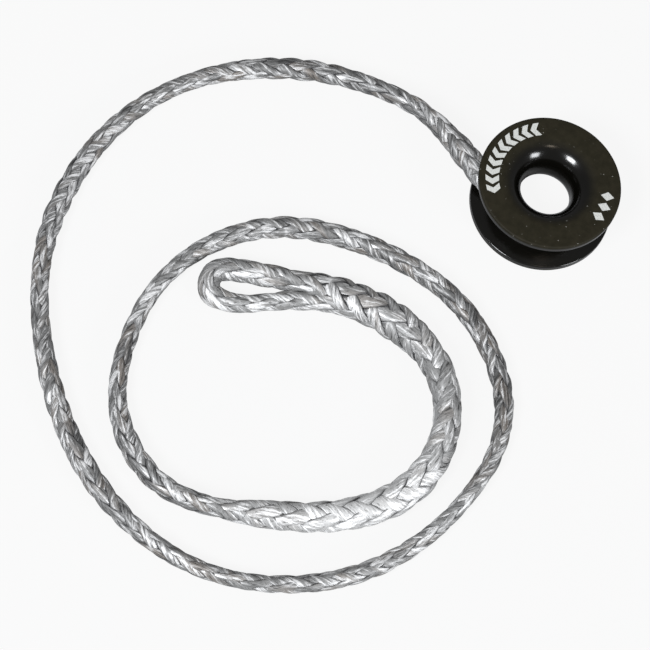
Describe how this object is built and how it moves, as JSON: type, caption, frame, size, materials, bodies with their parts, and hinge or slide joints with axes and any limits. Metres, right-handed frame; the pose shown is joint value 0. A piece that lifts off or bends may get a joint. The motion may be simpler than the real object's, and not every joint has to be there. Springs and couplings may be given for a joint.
{
  "type": "thimble eye",
  "caption": "Flanged low-friction ring held in the spliced eye of a braided rope lanyard, with a second soft eye spliced at the lanyard's far end.",
  "frame": {"origin": "on the ring's axis, at the ring's bottom face, which is the surface that the whole lanyard lies on", "axes": "+Z along the ring's axis, upwards; the rope leaves the ring towards -X and +Y"},
  "size_m": [0.101, 0.0986, 0.0096],
  "materials": {
    "anodised_ring": "black hard-anodised, satin flanges and a polished bore",
    "rope": "coated 12-strand hollow braid of glossy filaments, silver grey",
    "rope_tail": "the same braid, buried"
  },
  "bodies": {
    "rope": {"ring_eye": "rope", "ring_splice_cover": "rope", "ring_splice_tail": "rope_tail", "standing_part": "rope", "end_splice_cover": "rope", "end_splice_tail": "rope_tail", "end_eye": "rope"},
    "ring": {"ring": "anodised_ring"}
  },
  "joints": [
    {"name": "ring_spin", "type": "hinge", "parent": "rope", "child": "ring", "pos_m": [0, 0, 0], "axis": [0, 0, 1], "continuous": true}
  ]
}
